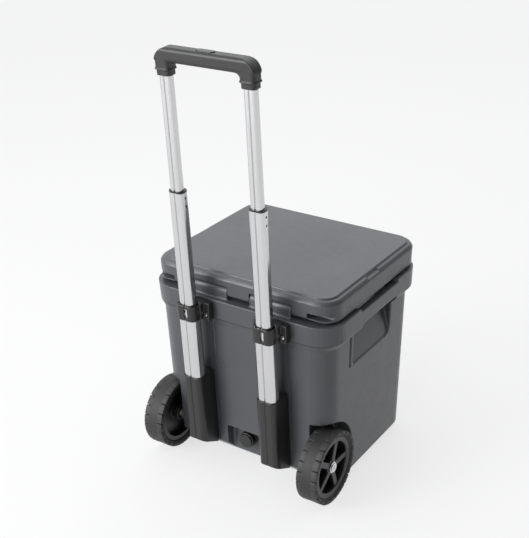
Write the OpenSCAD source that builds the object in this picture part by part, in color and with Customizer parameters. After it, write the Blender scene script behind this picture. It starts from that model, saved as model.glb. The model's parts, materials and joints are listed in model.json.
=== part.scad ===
// Wheeled hard cooler: a foam-filled, double-walled tub and lid, two wheels on stub axles,
// and a telescoping pull handle in two tube stages at the back.
// The wheels and the handle are at the back (-Y), the latches at the front (+Y).
// The origin is under the middle of the whole object, on the ground. Millimetres, +Z up.

/* [Tub] */
// Half of the tub's width under the rim
tub_half_w = 230; // [215:1:250]
// Half of the tub's width near the ground
tub_base_half_w = 223; // [205:1:245]
// Distance from the middle of the tub to its back wall, under the rim
tub_back = 212; // [200:1:235]
// Distance from the middle of the tub to its front wall, under the rim
tub_front = 197; // [180:1:225]
// How much further in the back wall is near the ground
back_draft = 19; // [8:1:24]
// How much further in the front wall is near the ground
front_draft = 7; // [0:1:20]
// Radius of the tub's upright corners
tub_corner_r = 52; // [40:1:60]
// Height of the rim's top above the ground
rim_top = 445; // [420:1:520]
// Height of the rim band, without its chamfer
rim_h = 48; // [44:1:60]
// How far the rim stands out from the tub wall at the sides and the front
rim_out = 14; // [8:1:20]
// How far the rim stands out from the tub wall at the back
rim_back_out = 7; // [5:1:10]
// Height of the tub's underside above the ground
base_z = 16; // [12:1:24]
// Size of the bevel between the underside and the back wall
back_bevel = 38; // [20:1:44]
// Thickness of the outer skin and of the liner
skin = 4; // [3:0.5:5]

/* [Cold box inside] */
// Thickness of each side of the tub, skins and foam, at the top
side_wall = 50; // [45:1:65]
// Thickness of the back of the tub at the top
back_wall = 60; // [56:1:90]
// Thickness of the front of the tub at the top
front_wall = 47; // [37:1:75]
// Thickness of the floor of the tub
floor_wall = 50; // [44:1:70]
// Radius of the inside upright corners
box_corner_r = 30; // [20:1:40]
// How much narrower the box is at its floor than at its top, on each side
box_draft = 12; // [6:1:16]

/* [Lid] */
// How far the lid reaches past the tub wall at each side
lid_over_side = 7.5; // [4:0.5:12]
// How far the lid reaches past the tub wall at the front
lid_over_front = 9.5; // [6:0.5:12]
// Radius of the lid's corners
lid_corner_r = 48; // [36:1:60]
// Height of the lid
lid_h = 55; // [48:1:75]
// Gap between the lid and the rim, filled by the gasket
lid_gap = 5; // [4:0.5:8]
// Height of the raised middle of the lid
lid_plateau_h = 5; // [2:0.5:8]
// Width of the border around the raised middle
lid_border = 11; // [8:0.5:20]
// Depth of the step under the lid that drops into the box
lid_plug_h = 12; // [8:1:20]

/* [Lid hinge and latches] */
// Radius of the hinge knuckles
knuckle_r = 13.5; // [11:0.5:15]
// Length of each knuckle on the tub
knuckle_len = 106; // [70:1:110]
// Gap between the two knuckles on the tub
knuckle_gap = 60; // [40:1:90]
// Radius of the hinge pins
hinge_pin_r = 4; // [3:0.25:5]
// Distance from the middle to each latch
latch_x = 112; // [90:1:150]
// Width of a latch
latch_w = 58; // [40:1:70]
// Height of a latch
latch_h = 68; // [62:1:76]

/* [Wheels] */
// Radius of the tyres
wheel_r = 86.4; // [78:0.1:92]
// Width of the tyres
wheel_w = 51.5; // [40:0.5:56]
// How far a wheel's outer face stands out from the tub wall
wheel_out = 10; // [6:0.5:20]
// Distance from the back wall of the tub forward to the axles
axle_in = 26; // [22:1:32]
// Radius of the axles
axle_r = 6; // [5:0.25:7]
// How thick the tyres are around the wheel's disc
tyre_depth = 13.9; // [10:0.1:16]
// Clearance of the wheel wells around the tyres
well_gap = 17; // [10:1:20]

/* [Handle] */
// Distance from the middle to each upright
rod_x = 101; // [88:0.5:110]
// Lean of the uprights, in degrees
rod_lean = 3.3; // [2:0.1:4]
// Distance from the back wall of the tub back to the uprights, at the ground
rod_out = 14.6; // [13:0.1:24]
// Width of the outer tubes
outer_w = 46; // [42:0.5:50]
// Depth of the outer tubes
outer_d = 32; // [30:0.5:34]
// Wall of the tubes
tube_wall = 1.5; // [1.2:0.1:2]
// How much narrower each tube is than the tube around it
tube_step_w = 9; // [6:0.5:10]
// How much shallower each middle tube is than the outer tube around it
middle_step_d = 6; // [5:0.5:7]
// How much shallower each inner tube is than the middle tube around it
inner_step_d = 7; // [5:0.5:8]
// How far the top of the outer tubes lies below the rim's top
outer_below = 7; // [0:1:20]
// Travel of the middle tubes
middle_travel = 264; // [200:1:266]
// Travel of the inner tubes and the grip
inner_travel = 245; // [180:1:250]
// Height of the grip bar
grip_h = 31; // [26:1:36]
// Depth of the grip bar
grip_d = 30; // [28:1:36]
// Travel of the release button
button_travel = 5; // [3:0.5:6]

/* [Drain] */
// Height of the drain above the ground
drain_z = 75; // [72:1:95]
// Radius of the drain bore
drain_r = 8; // [6:0.5:10]
// Half of the width of the drain recess
drain_half_w = 47; // [40:1:50]
// Depth of the drain recess
drain_depth = 24; // [20:1:28]

/* [Hidden] */

fit = 0.3;              // clearance between pieces that must not touch
run_fit = 0.05;         // radial clearance of a shaft in its bearing
round_fn = 64;          // segments of circles
soft_fn = 32;           // segments of the corners inside a hull

box_half_w = tub_half_w - side_wall;
box_back = tub_back - back_wall;
box_front = tub_front - front_wall;
box_floor = base_z + floor_wall;
lid_half_w = tub_half_w + lid_over_side;
lid_half_d = tub_front + lid_over_front;
wheel_face_x = tub_half_w + wheel_out;
axle_back = tub_back - axle_in;
disc_r = wheel_r - tyre_depth;
rod_back = tub_back + rod_out;
middle_w = outer_w - tube_step_w;
inner_w = middle_w - tube_step_w;
middle_d = outer_d - middle_step_d;
inner_d = middle_d - inner_step_d;
outer_top = rim_top - outer_below;

lid_low = rim_top + lid_gap;
lid_top = lid_low + lid_h;
lid_edge_top = lid_top - lid_plateau_h;
rim_low = rim_top - rim_h;
rim_chamfer = rim_out + 1;
rim_half_w = tub_half_w + rim_out;
rim_back = tub_back + rim_back_out;
rim_front = tub_front + rim_out;
foot_h = base_z + 4;     // the feet stand 4 deep in the underside
wheel_z = wheel_r;
well_r = wheel_r + well_gap;
well_x = wheel_face_x - wheel_w - 7.5;
tread_depth = 1.6;

// the whole is moved so that the origin lies under the middle of its outline
latch_out = 5;          // how far the latches stand out from the rim

// pieces of the hinge
hinge_y = -(lid_half_d - knuckle_r - 0.5);
hinge_z = lid_low + knuckle_r - 1.5;
knuckle_x0 = knuckle_gap / 2;
knuckle_x1 = knuckle_x0 + knuckle_len;
hinge_pin_x0 = knuckle_x0 - 18;
hinge_pin_x1 = knuckle_x1 + 40;

// heights along an upright, measured on its own axis
lean_k = 1 / cos(rod_lean);
outer_s1 = outer_top * lean_k;
outer_s0 = 88;
bush_h = 8;
middle_s1 = outer_s1 + 8 + middle_travel;
middle_len = 343;
middle_s0 = middle_s1 - middle_len;
inner_len = 320;
sleeve_s = middle_s1 + 8 + inner_travel;
inner_s1 = sleeve_s + 22;
inner_s0 = inner_s1 - inner_len;
grip_s0 = sleeve_s + 28;
grip_s1 = grip_s0 + grip_h;
leg_w = inner_w + 9;
leg_d = inner_d + 9;
groove_w = 5;
groove_d = 3;
lock_s = inner_s0 + 14;
rod_r = 2.5;
guide_wall = 2.6;
guide_s1 = 253 * lean_k;
guide_s0 = 45;

outer_front = -outer_d / 2;
middle_front = outer_front + tube_wall + 0.6;
inner_front = middle_front + tube_wall + 0.6;
grip_mid = inner_front + inner_d / 2;
back_reach = rod_back + grip_s1 * sin(rod_lean) + (grip_d / 2 - grip_mid) * cos(rod_lean);
mid_y = (rim_front + latch_out - back_reach) / 2;

module place() {
    translate([0, -mid_y, 0])
        children();
}

module on_rod(side) {
    translate([side * rod_x, -rod_back, 0])
        rotate([rod_lean, 0, 0])
            children();
}

module rounded(w, d, r) {
    square([w - 2 * r, d], center = true);
    square([w, d - 2 * r], center = true);
    for (sx = [-1, 1], sy = [-1, 1])
        translate([sx * (w / 2 - r), sy * (d / 2 - r)])
            circle(r = r, $fn = soft_fn);
}

// a thin rounded slab from y = -back to y = front at height z
module slab(half_w, back, front, r, z, h) {
    translate([0, (front - back) / 2, z])
        linear_extrude(height = h)
            rounded(2 * half_w, front + back, r);
}

module x_cylinder(r, x0, x1) {
    translate([x0, 0, 0])
        rotate([0, 90, 0])
            cylinder(r = r, h = x1 - x0, $fn = round_fn);
}

module y_cylinder(r, y0, y1) {
    translate([0, y0, 0])
        rotate([-90, 0, 0])
            cylinder(r = r, h = y1 - y0, $fn = round_fn);
}

// the tub tapers from under the rim to the ground; grow widens it all round
module tub_block(grow, low, high) {
    hull() {
        slab(tub_half_w + grow, tub_back + grow, tub_front + grow, tub_corner_r + grow, high - 1, 1);
        slab(tub_base_half_w + grow, tub_back - back_draft + grow, tub_front - front_draft + grow,
            tub_corner_r + grow, low, 1);
    }
}

// everything under the underside and its bevel, raised by lift
bevel_y = -tub_back + back_draft + back_bevel;
module under_slope(lift) {
    rotate([90, 0, 90])
        translate([0, 0, -300])
            linear_extrude(height = 600)
                polygon([[400, -50], [400, base_z + lift], [bevel_y + lift * 0.4, base_z + lift],
                    [bevel_y + lift * 0.4 - 200, base_z + lift + 190], [-400, base_z + lift + 190],
                    [-400, -50]]);
}

module box_space(grow, top) {
    hull() {
        slab(box_half_w + grow, box_back + grow, box_front + grow, box_corner_r + grow, top - 1, 1);
        slab(box_half_w - box_draft + grow, box_back - box_draft / 2 + grow,
            box_front - box_draft / 2 + grow, box_corner_r + grow, box_floor - grow, 1);
    }
}

// recess in the back wall that an upright stands in
channel_half_w = 34;
channel_deep = 22;
module channels(grow) {
    for (side = [-1, 1])
        translate([side * rod_x, -(tub_back - channel_deep), 0])
            rotate([rod_lean - 0.9, 0, 0])
                translate([-channel_half_w - grow, -100, -60])
                    cube([2 * (channel_half_w + grow), 100 + grow, rim_low + 54 + grow]);
}

// hand hold: a passage behind the rim that opens into a pocket under it
pocket_back = -96;
pocket_fore = 83;
pocket_low = 304;
bar_low = rim_low + 6;
bar_in = tub_half_w - 3;
passage_in = bar_in - 22;
slot_half = 87;
module x_prism(x0, x1) {
    translate([x0, 0, 0])
        rotate([90, 0, 90])
            linear_extrude(height = x1 - x0)
                children();
}

module y_prism(y0, y1) {
    translate([0, y1, 0])
        rotate([90, 0, 0])
            linear_extrude(height = y1 - y0)
                children();
}

// outline of the pocket seen from the side: y along, z up
module pocket_outline(grow) {
    polygon([[pocket_back - grow, pocket_low + 8], [pocket_back + 6, pocket_low - grow],
        [pocket_fore - 22, pocket_low - grow], [pocket_fore - 8, pocket_low + 5 - grow],
        [pocket_fore + grow, pocket_low + 20], [pocket_fore + grow, bar_low + 22],
        [pocket_back + 25, bar_low + 22], [pocket_back + 25 - grow, bar_low + grow],
        [pocket_back + 4 - grow, bar_low - 18]]);
}

module hand_hold(grow) {
    for (side = [0, 1])
        mirror([side, 0, 0]) {
            intersection() {
                y_prism(-150, 150)
                    polygon([[passage_in - grow, bar_low + 22], [bar_in, bar_low + 22],
                        [bar_in, bar_low + grow], [300, bar_low + grow],
                        [300, pocket_low - 20], [tub_half_w + 2, pocket_low - grow],
                        [tub_half_w - 4, pocket_low - grow], [passage_in - grow, pocket_low + 80]]);
                x_prism(100, 300)
                    pocket_outline(grow);
            }
            y_prism(-slot_half - grow, slot_half + grow)
                polygon([[passage_in - grow, bar_low + 21 - grow], [passage_in - grow, rim_top + 1],
                    [300, rim_top + 1], [300, rim_top - 8], [bar_in, rim_top - 8],
                    [bar_in, bar_low + 21 - grow]]);
            // shallow groove beside the pocket
            translate([tub_half_w - 6 - grow, pocket_back - 15 - grow, pocket_low - grow])
                cube([60, 8 + 2 * grow, 76 + 2 * grow]);
        }
}

module wheel_wells(grow) {
    for (side = [0, 1])
        mirror([side, 0, 0])
            translate([0, -axle_back, wheel_z]) {
                x_cylinder(well_r + grow, well_x - grow, 300);
                translate([well_x - grow, -150, -150])
                    cube([300, 150, 150 + well_r + grow]);
                translate([well_x - grow, -150, -150])
                    cube([300, 150 + well_r * 0.9 + grow, 150]);
            }
}

module drain_recess(grow) {
    translate([-drain_half_w - grow, -tub_back - 20, -10])
        cube([2 * (drain_half_w + grow), 20 + drain_depth + back_draft * 0.86 + grow,
            drain_z + 42 + grow]);
}
drain_wall_y = -tub_back + drain_depth + back_draft * 0.86;

module stub_axle_bores(r) {
    for (side = [0, 1])
        mirror([side, 0, 0])
            translate([0, -axle_back, wheel_z])
                x_cylinder(r, axle_in_x, well_x + 1);
}
axle_in_x = well_x - 46;

module foam_space() {
    difference() {
        translate([0, 0, 0])
            tub_block(-skin, 4, rim_top - skin);
        under_slope(skin);
        box_space(skin, rim_top + 2);
        channels(skin);
        hand_hold(skin);
        wheel_wells(skin);
        drain_recess(skin);
        translate([0, -axle_back, wheel_z])
            x_cylinder(axle_r + skin, -well_x - 10, -axle_in_x + skin);
        translate([0, -axle_back, wheel_z])
            x_cylinder(axle_r + skin, axle_in_x - skin, well_x + 10);
        translate([0, 0, drain_z])
            y_cylinder(drain_r + 2 * skin, -tub_back, -box_back + 20);
        for (side = [-1, 1]) {
            translate([side * foot_x, foot_y, 0])
                cylinder(r = 8, h = foot_h + 27, $fn = round_fn);
            translate([side * foot_x - 30 - skin, foot_y - 15 - skin, 0])
                cube([60 + 2 * skin, 30 + 2 * skin, foot_h + skin]);
        }
        for (side = [-1, 1], wing = [-1, 1])
            translate([side * rod_x + wing * wing_x, 0, wing_z])
                y_cylinder(screw_hole_r + skin, -rim_back, -rim_back + 18 + skin);
        for (side = [-1, 1], s = guide_screw_z)
            translate([side * rod_x, 0, s])
                y_cylinder(screw_hole_r + skin, -tub_back, -tub_back + channel_deep + 30 + skin);
    }
}

foot_x = 170;
foot_y = 150;
screw_hole_r = 2.1;

// boss for a screw through a collar's wing: along Y into the rim's back
wing_x = outer_w / 2 + 10;
wing_z = rim_top - 32;
keeper_z = rim_top - 17;
latch_cut_w = latch_w + 6;
latch_in_y = rim_front - 15;

module latch_cuts(low, high) {
    for (side = [-1, 1])
        translate([side * latch_x - latch_cut_w / 2, latch_in_y, low])
            cube([latch_cut_w, 60, high - low]);
}

module body_shell() {
    color("#5b5d60")
        place()
            difference() {
                union() {
                    difference() {
                        union() {
                            tub_block(0, 0, rim_low);
                            hull() {
                                slab(rim_half_w, rim_back, rim_front, tub_corner_r + 10, rim_top - 1, 1);
                                slab(rim_half_w - 1, rim_back - 4, rim_front - 1, tub_corner_r + 10,
                                    rim_low, 1);
                            }
                            hull() {
                                slab(rim_half_w - 1, rim_back - 4, rim_front - 1, tub_corner_r + 10,
                                    rim_low, 1);
                                slab(tub_half_w - 0.5, tub_back - 0.5, tub_front - 0.5, tub_corner_r,
                                    rim_low - rim_chamfer, 1);
                            }
                        }
                        box_space(skin, rim_top + 2);
                    }
                    for (side = [0, 1])
                        mirror([side, 0, 0])
                            translate([0, hinge_y, hinge_z]) {
                                x_cylinder(knuckle_r, knuckle_x0, knuckle_x1);
                                translate([knuckle_x0, -knuckle_r, rim_top - 2 - hinge_z])
                                    cube([knuckle_len, 2 * knuckle_r, hinge_z - rim_top + 2]);
                            }
                }
                foam_space();
                under_slope(0);
                channels(0);
                hand_hold(0);
                wheel_wells(0);
                drain_recess(0);
                // parting line under the rim at the back
                translate([-186, -rim_back - 5, rim_low - 1])
                    cube([372, 11, 2]);
                stub_axle_bores(axle_r);
                latch_cuts(rim_low - 40, rim_top + 2);
                translate([0, 0, drain_z])
                    y_cylinder(drain_r + skin, -tub_back, -box_back + 20);
                for (side = [0, 1])
                    mirror([side, 0, 0])
                        translate([0, hinge_y, hinge_z])
                            x_cylinder(hinge_pin_r, hinge_pin_x0 - 5, hinge_pin_x1);
                for (side = [-1, 1], wing = [-1, 1])
                    translate([side * rod_x + wing * wing_x, 0, wing_z])
                        y_cylinder(screw_hole_r, -rim_back - 5, -rim_back + 18);
                for (side = [-1, 1], s = guide_screw_z)
                    translate([side * rod_x, 0, s])
                        y_cylinder(screw_hole_r, -tub_back - 10, -tub_back + channel_deep + 30);
                for (side = [-1, 1]) {
                    translate([side * foot_x, foot_y, -1])
                        cylinder(r = screw_hole_r, h = foot_h + 23, $fn = round_fn);
                    translate([side * foot_x - 30 - fit / 2, foot_y - 15 - fit / 2, -1])
                        cube([60 + fit, 30 + fit, foot_h + 1]);
                }
            }
}

// the liner of the cold box; its rim meets the deck of the tub
module inner_liner() {
    color("#66686b")
        place()
            difference() {
                box_space(skin, rim_top + 2);
                box_space(0, rim_top + 2);
                translate([-300, -300, rim_top])
                    cube([600, 600, 50]);
                translate([0, 0, drain_z])
                    y_cylinder(drain_r + skin, -tub_back, -box_back + 20);
            }
}

module body_foam() {
    color("#e8dfb8")
        place()
            foam_space();
}

// --- hinge pins and latch keepers ---
module hinge_pins() {
    color("#b8babc")
        place()
            for (side = [0, 1])
                mirror([side, 0, 0])
                    translate([0, hinge_y, hinge_z])
                        x_cylinder(hinge_pin_r, hinge_pin_x0, hinge_pin_x1 - 1);
}

keeper_out = 5;
module keepers() {
    color("#9b9da0")
        place()
            for (side = [-1, 1])
                translate([side * latch_x - 20, latch_in_y, keeper_z - 4])
                    cube([40, keeper_out, 8]);
}

// --- front feet ---
module front_feet() {
    color("#1c1c1d")
        place()
            for (side = [-1, 1])
                difference() {
                    translate([side * foot_x - 30, foot_y - 15, 0])
                        cube([60, 30, foot_h]);
                    translate([side * foot_x, foot_y, -1])
                        cylinder(r = 4.5, h = foot_h - 5, $fn = round_fn);
                    translate([side * foot_x, foot_y, -1])
                        cylinder(r = screw_hole_r, h = foot_h + 2, $fn = round_fn);
                }
}

module foot_screws() {
    color("#c4c6c8")
        place()
            for (side = [-1, 1])
                translate([side * foot_x, foot_y, 0]) {
                    translate([0, 0, foot_h - 8.5])
                        cylinder(r = 4.2, h = 2.5, $fn = round_fn);
                    translate([0, 0, foot_h - 6.1])
                        cylinder(r = screw_hole_r, h = 26, $fn = round_fn);
                }
}

// --- drain ---
module drain_fitting() {
    color("#202122")
        place()
            translate([0, 0, drain_z])
                difference() {
                    union() {
                        y_cylinder(drain_r + skin, drain_wall_y - 5, -box_back + box_draft / 2 - 1);
                        y_cylinder(21, drain_wall_y - 5, drain_wall_y);
                    }
                    y_cylinder(drain_r, drain_wall_y - 6, -box_back + 20);
                }
}

module drain_nut() {
    color("#2a2b2c")
        place()
            translate([0, 0, drain_z])
                difference() {
                    y_cylinder(15, drain_wall_y - 9, drain_wall_y - 5);
                    y_cylinder(drain_r + 0.5, drain_wall_y - 10, drain_wall_y);
                }
}

module plug_gasket() {
    color("#3a3a3c")
        place()
            translate([0, 0, drain_z])
                difference() {
                    y_cylinder(12, drain_wall_y - 11.3, drain_wall_y - 9.3);
                    y_cylinder(drain_r, drain_wall_y - 12, drain_wall_y - 8);
                }
}

plug_fins = 20;
module drain_plug() {
    color("#161617")
        place()
            translate([0, 0, drain_z]) {
                difference() {
                    union() {
                        y_cylinder(17, drain_wall_y - 22, drain_wall_y - 17.5);
                        y_cylinder(19.5, drain_wall_y - 17.5, drain_wall_y - 11.3);
                    }
                    for (i = [0:plug_fins - 1])
                        rotate([0, i * 360 / plug_fins, 0])
                            translate([20, 0, 0])
                                y_cylinder(1.2, drain_wall_y - 18, drain_wall_y - 11);
                }
                y_cylinder(drain_r - run_fit, drain_wall_y - 11.5, drain_wall_y + 12);
            }
}

// --- uprights ---
module tube_section(w, d, r, front) {
    translate([0, front + d / 2])
        rounded(w, d, r);
}

module groove_cut(front, extra) {
    polygon([[-groove_w / 2 - extra, front - 1], [groove_w / 2 + extra, front - 1],
        [0, front + groove_d + extra]]);
}

// hollow tube with a groove down the middle of its back face
module grooved_tube(w, d, r, front, s0, s1) {
    translate([0, 0, s0])
        linear_extrude(height = s1 - s0)
            difference() {
                tube_section(w, d, r, front);
                difference() {
                    tube_section(w - 2 * tube_wall, d - 2 * tube_wall, r - tube_wall, front + tube_wall);
                    groove_cut(front, tube_wall);
                }
                groove_cut(front, 0);
            }
}

outer_r = 12;
middle_r = 9.5;
inner_r = 7;

module outer_tube(side) {
    color("#cfd2d4")
        place()
            on_rod(side)
                grooved_tube(outer_w, outer_d, outer_r, outer_front, outer_s0, outer_s1);
}
module outer_tube_left() { outer_tube(-1); }
module outer_tube_right() { outer_tube(1); }

lock_hole_r = 2.6;
module middle_tube(side) {
    color("#d6d8da")
        place()
            on_rod(side)
                difference() {
                    grooved_tube(middle_w, middle_d, middle_r, middle_front, middle_s0, middle_s1);
                    for (s = [lock_s, lock_s + 19])
                        translate([0, middle_front + middle_d / 2, s])
                            x_cylinder(lock_hole_r, middle_w / 2 - 3, middle_w / 2 + 3);
                }
}
module middle_tube_left() { middle_tube(-1); }
module middle_tube_right() { middle_tube(1); }

module inner_tube(side) {
    color("#dcdee0")
        place()
            on_rod(side)
                difference() {
                    grooved_tube(inner_w, inner_d, inner_r, inner_front, inner_s0, inner_s1);
                    translate([0, inner_front + inner_d / 2, lock_s])
                        x_cylinder(lock_hole_r, inner_w / 2 - 3, inner_w / 2 + 3);
                }
}
module inner_tube_left() { inner_tube(-1); }
module inner_tube_right() { inner_tube(1); }

// ring that closes the gap between two tubes at the top of the wider one
module top_bush(w, d, r, front, in_w, in_d, in_r, in_front, s0, s1) {
    translate([0, 0, s0])
        linear_extrude(height = s1 - s0)
            difference() {
                tube_section(w, d, r, front);
                difference() {
                    tube_section(in_w + 2 * fit, in_d + 2 * fit, in_r + fit, in_front - fit);
                    groove_cut(in_front, -0.4);
                }
                groove_cut(front, 0);
            }
}

module middle_top_bushes() {
    color("#1a1a1b")
        place()
            for (side = [-1, 1])
                on_rod(side)
                    top_bush(middle_w, middle_d, middle_r, middle_front, inner_w, inner_d, inner_r,
                        inner_front, middle_s1, middle_s1 + 4);
}

// blocks at the lower end of a tube that run inside the wider one
module foot_bush(w, d, r, front, s0, s1) {
    translate([0, 0, s0])
        linear_extrude(height = s1 - s0)
            difference() {
                tube_section(w, d, r, front);
                groove_cut(front, 0.3);
            }
}

module middle_foot_bushes() {
    color("#1a1a1b")
        place()
            for (side = [-1, 1])
                on_rod(side)
                    difference() {
                        foot_bush(outer_w - 2 * tube_wall - 2 * fit, outer_d - 2 * tube_wall - 2 * fit,
                            outer_r - tube_wall - fit, outer_front + tube_wall + fit,
                            middle_s0 - 14, middle_s0);
                        translate([0, 0, middle_s0 - 15])
                            linear_extrude(height = 16)
                                tube_section(inner_w + 1, inner_d + 1, inner_r, inner_front - 0.5);
                        translate([0, 0, middle_s0 - 15])
                            linear_extrude(height = 16)
                                groove_cut(outer_front + tube_wall, 1);
                    }
}

module inner_foot_bushes() {
    color("#1a1a1b")
        place()
            for (side = [-1, 1])
                on_rod(side)
                    difference() {
                        foot_bush(middle_w - 2 * tube_wall - 2 * fit, middle_d - 2 * tube_wall - 2 * fit,
                            middle_r - tube_wall - fit, middle_front + tube_wall + fit,
                            inner_s0 - 12, inner_s0);
                        translate([0, 0, inner_s0 - 13])
                            linear_extrude(height = 14)
                                groove_cut(middle_front + tube_wall, 1);
                    }
}

// plugs that hold the lower ends of the outer tubes in the guides
module tube_end_blocks() {
    color("#242526")
        place()
            for (side = [-1, 1])
                on_rod(side)
                    translate([0, 0, outer_s0 - 10])
                        linear_extrude(height = 10)
                            difference() {
                                tube_section(outer_w, outer_d, outer_r, outer_front);
                                groove_cut(outer_front, 0);
                            }
}

// --- guides around the lower ends of the uprights ---
guide_screw_z = [110, 215];
guide_back = 34;
guide_w = outer_w + 2 * guide_wall;
module guide(side) {
    color("#1b1c1d")
        place()
            difference() {
                on_rod(side)
                    difference() {
                        translate([0, 0, guide_s0])
                            linear_extrude(height = guide_s1 - guide_s0)
                                difference() {
                                    union() {
                                        tube_section(guide_w, outer_d + 2 * guide_wall, outer_r + 1,
                                            outer_front - guide_wall);
                                        translate([-guide_w / 2, 0])
                                            square([guide_w, guide_back]);
                                    }
                                    groove_cut(outer_front - guide_wall, 0);
                                }
                        translate([0, 0, outer_s0 - 10])
                            linear_extrude(height = guide_s1)
                                difference() {
                                    tube_section(outer_w, outer_d, outer_r, outer_front);
                                    groove_cut(outer_front, 0);
                                }
                    }
                rotate([90, 0, 90])
                    translate([0, 0, side * rod_x - 60])
                        linear_extrude(height = 120)
                            polygon([[-300, 0], [-300, 104], [-184, 43], [-100, 43], [-100, 0]]);
                translate([side * rod_x - 60, guide_wall_y(0), -10])
                    rotate([rod_lean - 0.9, 0, 0])
                        cube([120, 100, 400]);
                for (s = guide_screw_z)
                    translate([side * rod_x, 0, s])
                        y_cylinder(screw_hole_r + 0.15, -tub_back - 30, -100);
                for (s = guide_screw_z)
                    translate([side * rod_x, -rod_back - sin(rod_lean) * s + outer_d / 2 + 0.5, s])
                        y_cylinder(4.4, -3, 3.2);
            }
}
function guide_wall_y(z) = -(tub_back - channel_deep) - 0.2;
module guide_left() { guide(-1); }
module guide_right() { guide(1); }

module guide_screws() {
    color("#c4c6c8")
        place()
            for (side = [-1, 1], s = guide_screw_z)
                translate([side * rod_x, -rod_back - sin(rod_lean) * s + outer_d / 2 + 0.5, s]) {
                    y_cylinder(4.2, 0.4, 3);
                    y_cylinder(screw_hole_r, 2.9, 34);
                }
}

// --- collars at the top of the outer tubes ---
collar_wall = 2.6;
collar_h = 37;
collar_s0 = outer_s1 - collar_h + 2;
wing_reach = outer_w / 2 + 19;
wing_t = 16;
wing_face_y = -rim_back - wing_t;
module collar(side) {
    color("#1d1e1f")
        place()
            difference() {
                union() {
                    on_rod(side)
                        translate([0, 0, collar_s0])
                            linear_extrude(height = collar_h)
                                union() {
                                    tube_section(outer_w + 2 * collar_wall, outer_d + 2 * collar_wall,
                                        outer_r + 1, outer_front - collar_wall);
                                    translate([-wing_reach + 14, 4])
                                        square([2 * wing_reach - 28, 26]);
                                }
                    translate([side * rod_x - wing_reach, wing_face_y, wing_z - 16])
                        cube([2 * wing_reach, wing_t - 0.2, 43]);
                }
                on_rod(side) {
                    translate([0, 0, collar_s0 - 16])
                        linear_extrude(height = collar_h + 17)
                            difference() {
                                tube_section(outer_w, outer_d, outer_r, outer_front);
                                groove_cut(outer_front, 0);
                            }
                    translate([0, 0, collar_s0 - 1])
                        linear_extrude(height = collar_h + 2)
                            groove_cut(outer_front - collar_wall, 0);
                    translate([-1, outer_front - 10, collar_s0 + 8])
                        cube([8, 12, 22]);
                }
                translate([side * rod_x - 60, -rim_back - 0.2, 300])
                    cube([120, 60, 200]);
                for (wing = [-1, 1])
                    translate([side * rod_x + wing * wing_x, 0, wing_z]) {
                        y_cylinder(screw_hole_r, wing_face_y - 5, -rim_back + 5);
                        y_cylinder(6.5, wing_face_y - 20, wing_face_y + 2);
                    }
            }
}
module collar_left() { collar(-1); }
module collar_right() { collar(1); }

module collar_screws() {
    color("#d8dadc")
        place()
            for (side = [-1, 1], wing = [-1, 1])
                translate([side * rod_x + wing * wing_x, 0, wing_z]) {
                    y_cylinder(4.6, wing_face_y - 1, wing_face_y + 2);
                    y_cylinder(screw_hole_r, wing_face_y + 1.9, -rim_back + 16);
                }
}

// --- wheels ---
hub_in_x = well_x + 8.5;
module axle(side) {
    color("#b4b6b8")
        place()
            mirror([side < 0 ? 1 : 0, 0, 0])
                translate([0, -axle_back, wheel_z])
                    x_cylinder(axle_r, axle_in_x, wheel_face_x - 3);
}
module axle_left() { axle(-1); }
module axle_right() { axle(1); }

module axle_washers() {
    color("#a9abad")
        place()
            for (side = [0, 1])
                mirror([side, 0, 0])
                    translate([0, -axle_back, wheel_z])
                        difference() {
                            x_cylinder(13, well_x, well_x + 2);
                            x_cylinder(axle_r, well_x - 1, well_x + 3);
                        }
}

cap_x = wheel_face_x - 9;
module axle_caps() {
    color("#d8dadc")
        place()
            for (side = [0, 1])
                mirror([side, 0, 0])
                    translate([0, -axle_back, wheel_z])
                        difference() {
                            union() {
                                x_cylinder(13, cap_x, cap_x + 3);
                                x_cylinder(10.5, cap_x + 2.9, cap_x + 6);
                            }
                            x_cylinder(axle_r, cap_x - 1, cap_x + 7);
                        }
}

blocks = 22;
module tyre(side) {
    color("#232425")
        place()
            mirror([side < 0 ? 1 : 0, 0, 0])
                translate([wheel_face_x - wheel_w, -axle_back, wheel_z])
                    rotate([0, 90, 0])
                        rotate([0, 0, 90])
                            difference() {
                                rotate_extrude($fn = 96)
                                    polygon([[disc_r, 3], [wheel_r - 8, 0], [wheel_r - 2.5, 2.5],
                                        [wheel_r, 12], [wheel_r, wheel_w - 12],
                                        [wheel_r - 2.5, wheel_w - 2.5], [wheel_r - 8, wheel_w],
                                        [disc_r, wheel_w - 3]]);
                                for (i = [0:blocks - 1])
                                    rotate([0, 0, (i + 0.5) * 360 / blocks])
                                        for (z = [-1, wheel_w - 13])
                                            translate([wheel_r - tread_depth - 1, -1, z])
                                                cube([6, 2, 14]);
                            }
}
module tyre_left() { tyre(-1); }
module tyre_right() { tyre(1); }

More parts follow.
